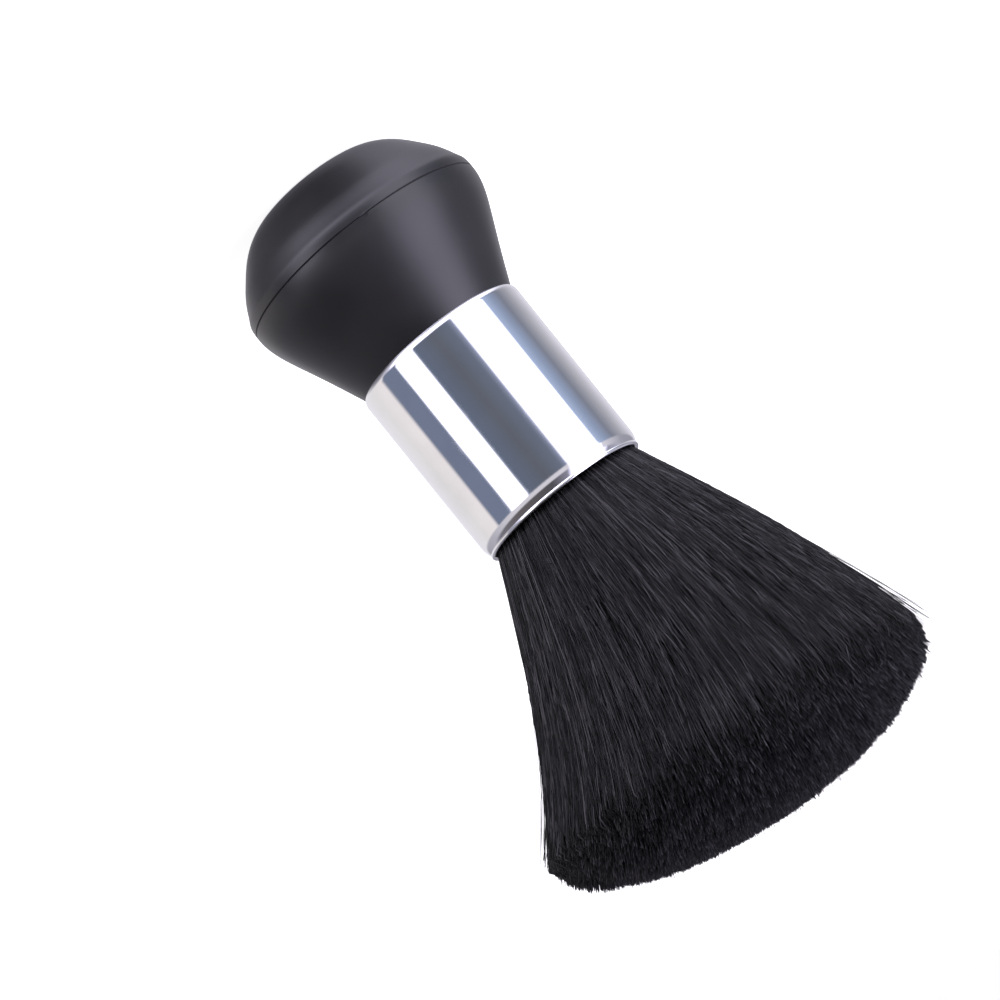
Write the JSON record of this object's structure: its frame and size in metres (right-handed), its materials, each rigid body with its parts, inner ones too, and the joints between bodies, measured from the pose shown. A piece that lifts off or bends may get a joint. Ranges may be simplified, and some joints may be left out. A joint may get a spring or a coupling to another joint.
{
  "type": "neck duster brush",
  "caption": "Upright round brush for dusting hair off the neck: knob handle, polished ferrule and a flared, domed tuft of soft black bristles.",
  "frame": {"origin": "centre of the flat end of the knob, on which the brush stands", "axes": "+Z along the brush's axis from the knob to the bristle tips; the brush is the same all round apart from one tiny pry notch in the knob's edge near -Y, and +X is the side that the tuft leans to when it is held in use"},
  "size_m": [0.089, 0.089, 0.1586],
  "materials": {
    "knob_plastic": "black moulded plastic with a satin surface",
    "ferrule_metal": "drawn and polished, with faint lengthwise drawing lines",
    "adhesive": "cured amber glue",
    "disc_plastic": "plain grey board-like plastic",
    "resin": "cast resin, slightly glossy",
    "thread": "natural twisted thread",
    "core_wood": "plain turned wood",
    "hair": "fine soft black synthetic bristle with a faint sheen"
  },
  "bodies": {
    "handle": {"knob_cap": "knob_plastic", "knob_body": "knob_plastic", "ferrule": "ferrule_metal", "adhesive_ring": "adhesive", "backing_disc": "disc_plastic", "resin_plug": "resin", "root_binding": "thread", "core_plug": "core_wood", "bristle_root": "hair"},
    "lock_01": {"bristle_lock_01": "hair"},
    "lock_02": {"bristle_lock_02": "hair"},
    "lock_03": {"bristle_lock_03": "hair"},
    "lock_04": {"bristle_lock_04": "hair"},
    "lock_05": {"bristle_lock_05": "hair"},
    "lock_06": {"bristle_lock_06": "hair"},
    "lock_07": {"bristle_lock_07": "hair"},
    "lock_08": {"bristle_lock_08": "hair"},
    "lock_09": {"bristle_lock_09": "hair"},
    "lock_10": {"bristle_lock_10": "hair"},
    "lock_11": {"bristle_lock_11": "hair"},
    "lock_12": {"bristle_lock_12": "hair"},
    "lock_13": {"bristle_lock_13": "hair"},
    "lock_14": {"bristle_lock_14": "hair"},
    "lock_15": {"bristle_lock_15": "hair"},
    "lock_16": {"bristle_lock_16": "hair"}
  },
  "joints": [
    {"name": "flex_01", "type": "hinge", "parent": "handle", "child": "lock_01", "pos_m": [0.0169, 0, 0.0828], "axis": [0, 1, 0], "range_deg": [-4, 18], "stiffness_Nm_per_rad": 0.02},
    {"name": "flex_02", "type": "hinge", "parent": "handle", "child": "lock_02", "pos_m": [0.01561, 0.00647, 0.0828], "axis": [-0.3827, 0.9239, 0], "range_deg": [-4, 18], "stiffness_Nm_per_rad": 0.02},
    {"name": "flex_03", "type": "hinge", "parent": "handle", "child": "lock_03", "pos_m": [0.01195, 0.01195, 0.0828], "axis": [-0.7071, 0.7071, 0], "range_deg": [-4, 18], "stiffness_Nm_per_rad": 0.02},
    {"name": "flex_04", "type": "hinge", "parent": "handle", "child": "lock_04", "pos_m": [0.00647, 0.01561, 0.0828], "axis": [-0.9239, 0.3827, 0], "range_deg": [-4, 18], "stiffness_Nm_per_rad": 0.02},
    {"name": "flex_05", "type": "hinge", "parent": "handle", "child": "lock_05", "pos_m": [0, 0.0169, 0.0828], "axis": [-1, 0, 0], "range_deg": [-4, 18], "stiffness_Nm_per_rad": 0.02},
    {"name": "flex_06", "type": "hinge", "parent": "handle", "child": "lock_06", "pos_m": [-0.00647, 0.01561, 0.0828], "axis": [-0.9239, -0.3827, 0], "range_deg": [-4, 18], "stiffness_Nm_per_rad": 0.02},
    {"name": "flex_07", "type": "hinge", "parent": "handle", "child": "lock_07", "pos_m": [-0.01195, 0.01195, 0.0828], "axis": [-0.7071, -0.7071, 0], "range_deg": [-4, 18], "stiffness_Nm_per_rad": 0.02},
    {"name": "flex_08", "type": "hinge", "parent": "handle", "child": "lock_08", "pos_m": [-0.01561, 0.00647, 0.0828], "axis": [-0.3827, -0.9239, 0], "range_deg": [-4, 18], "stiffness_Nm_per_rad": 0.02},
    {"name": "flex_09", "type": "hinge", "parent": "handle", "child": "lock_09", "pos_m": [-0.0169, 0, 0.0828], "axis": [0, -1, 0], "range_deg": [-4, 18], "stiffness_Nm_per_rad": 0.02},
    {"name": "flex_10", "type": "hinge", "parent": "handle", "child": "lock_10", "pos_m": [-0.01561, -0.00647, 0.0828], "axis": [0.3827, -0.9239, 0], "range_deg": [-4, 18], "stiffness_Nm_per_rad": 0.02},
    {"name": "flex_11", "type": "hinge", "parent": "handle", "child": "lock_11", "pos_m": [-0.01195, -0.01195, 0.0828], "axis": [0.7071, -0.7071, 0], "range_deg": [-4, 18], "stiffness_Nm_per_rad": 0.02},
    {"name": "flex_12", "type": "hinge", "parent": "handle", "child": "lock_12", "pos_m": [-0.00647, -0.01561, 0.0828], "axis": [0.9239, -0.3827, 0], "range_deg": [-4, 18], "stiffness_Nm_per_rad": 0.02},
    {"name": "flex_13", "type": "hinge", "parent": "handle", "child": "lock_13", "pos_m": [0, -0.0169, 0.0828], "axis": [1, 0, 0], "range_deg": [-4, 18], "stiffness_Nm_per_rad": 0.02},
    {"name": "flex_14", "type": "hinge", "parent": "handle", "child": "lock_14", "pos_m": [0.00647, -0.01561, 0.0828], "axis": [0.9239, 0.3827, 0], "range_deg": [-4, 18], "stiffness_Nm_per_rad": 0.02},
    {"name": "flex_15", "type": "hinge", "parent": "handle", "child": "lock_15", "pos_m": [0.01195, -0.01195, 0.0828], "axis": [0.7071, 0.7071, 0], "range_deg": [-4, 18], "stiffness_Nm_per_rad": 0.02},
    {"name": "flex_16", "type": "hinge", "parent": "handle", "child": "lock_16", "pos_m": [0.01561, -0.00647, 0.0828], "axis": [0.3827, 0.9239, 0], "range_deg": [-4, 18], "stiffness_Nm_per_rad": 0.02}
  ]
}
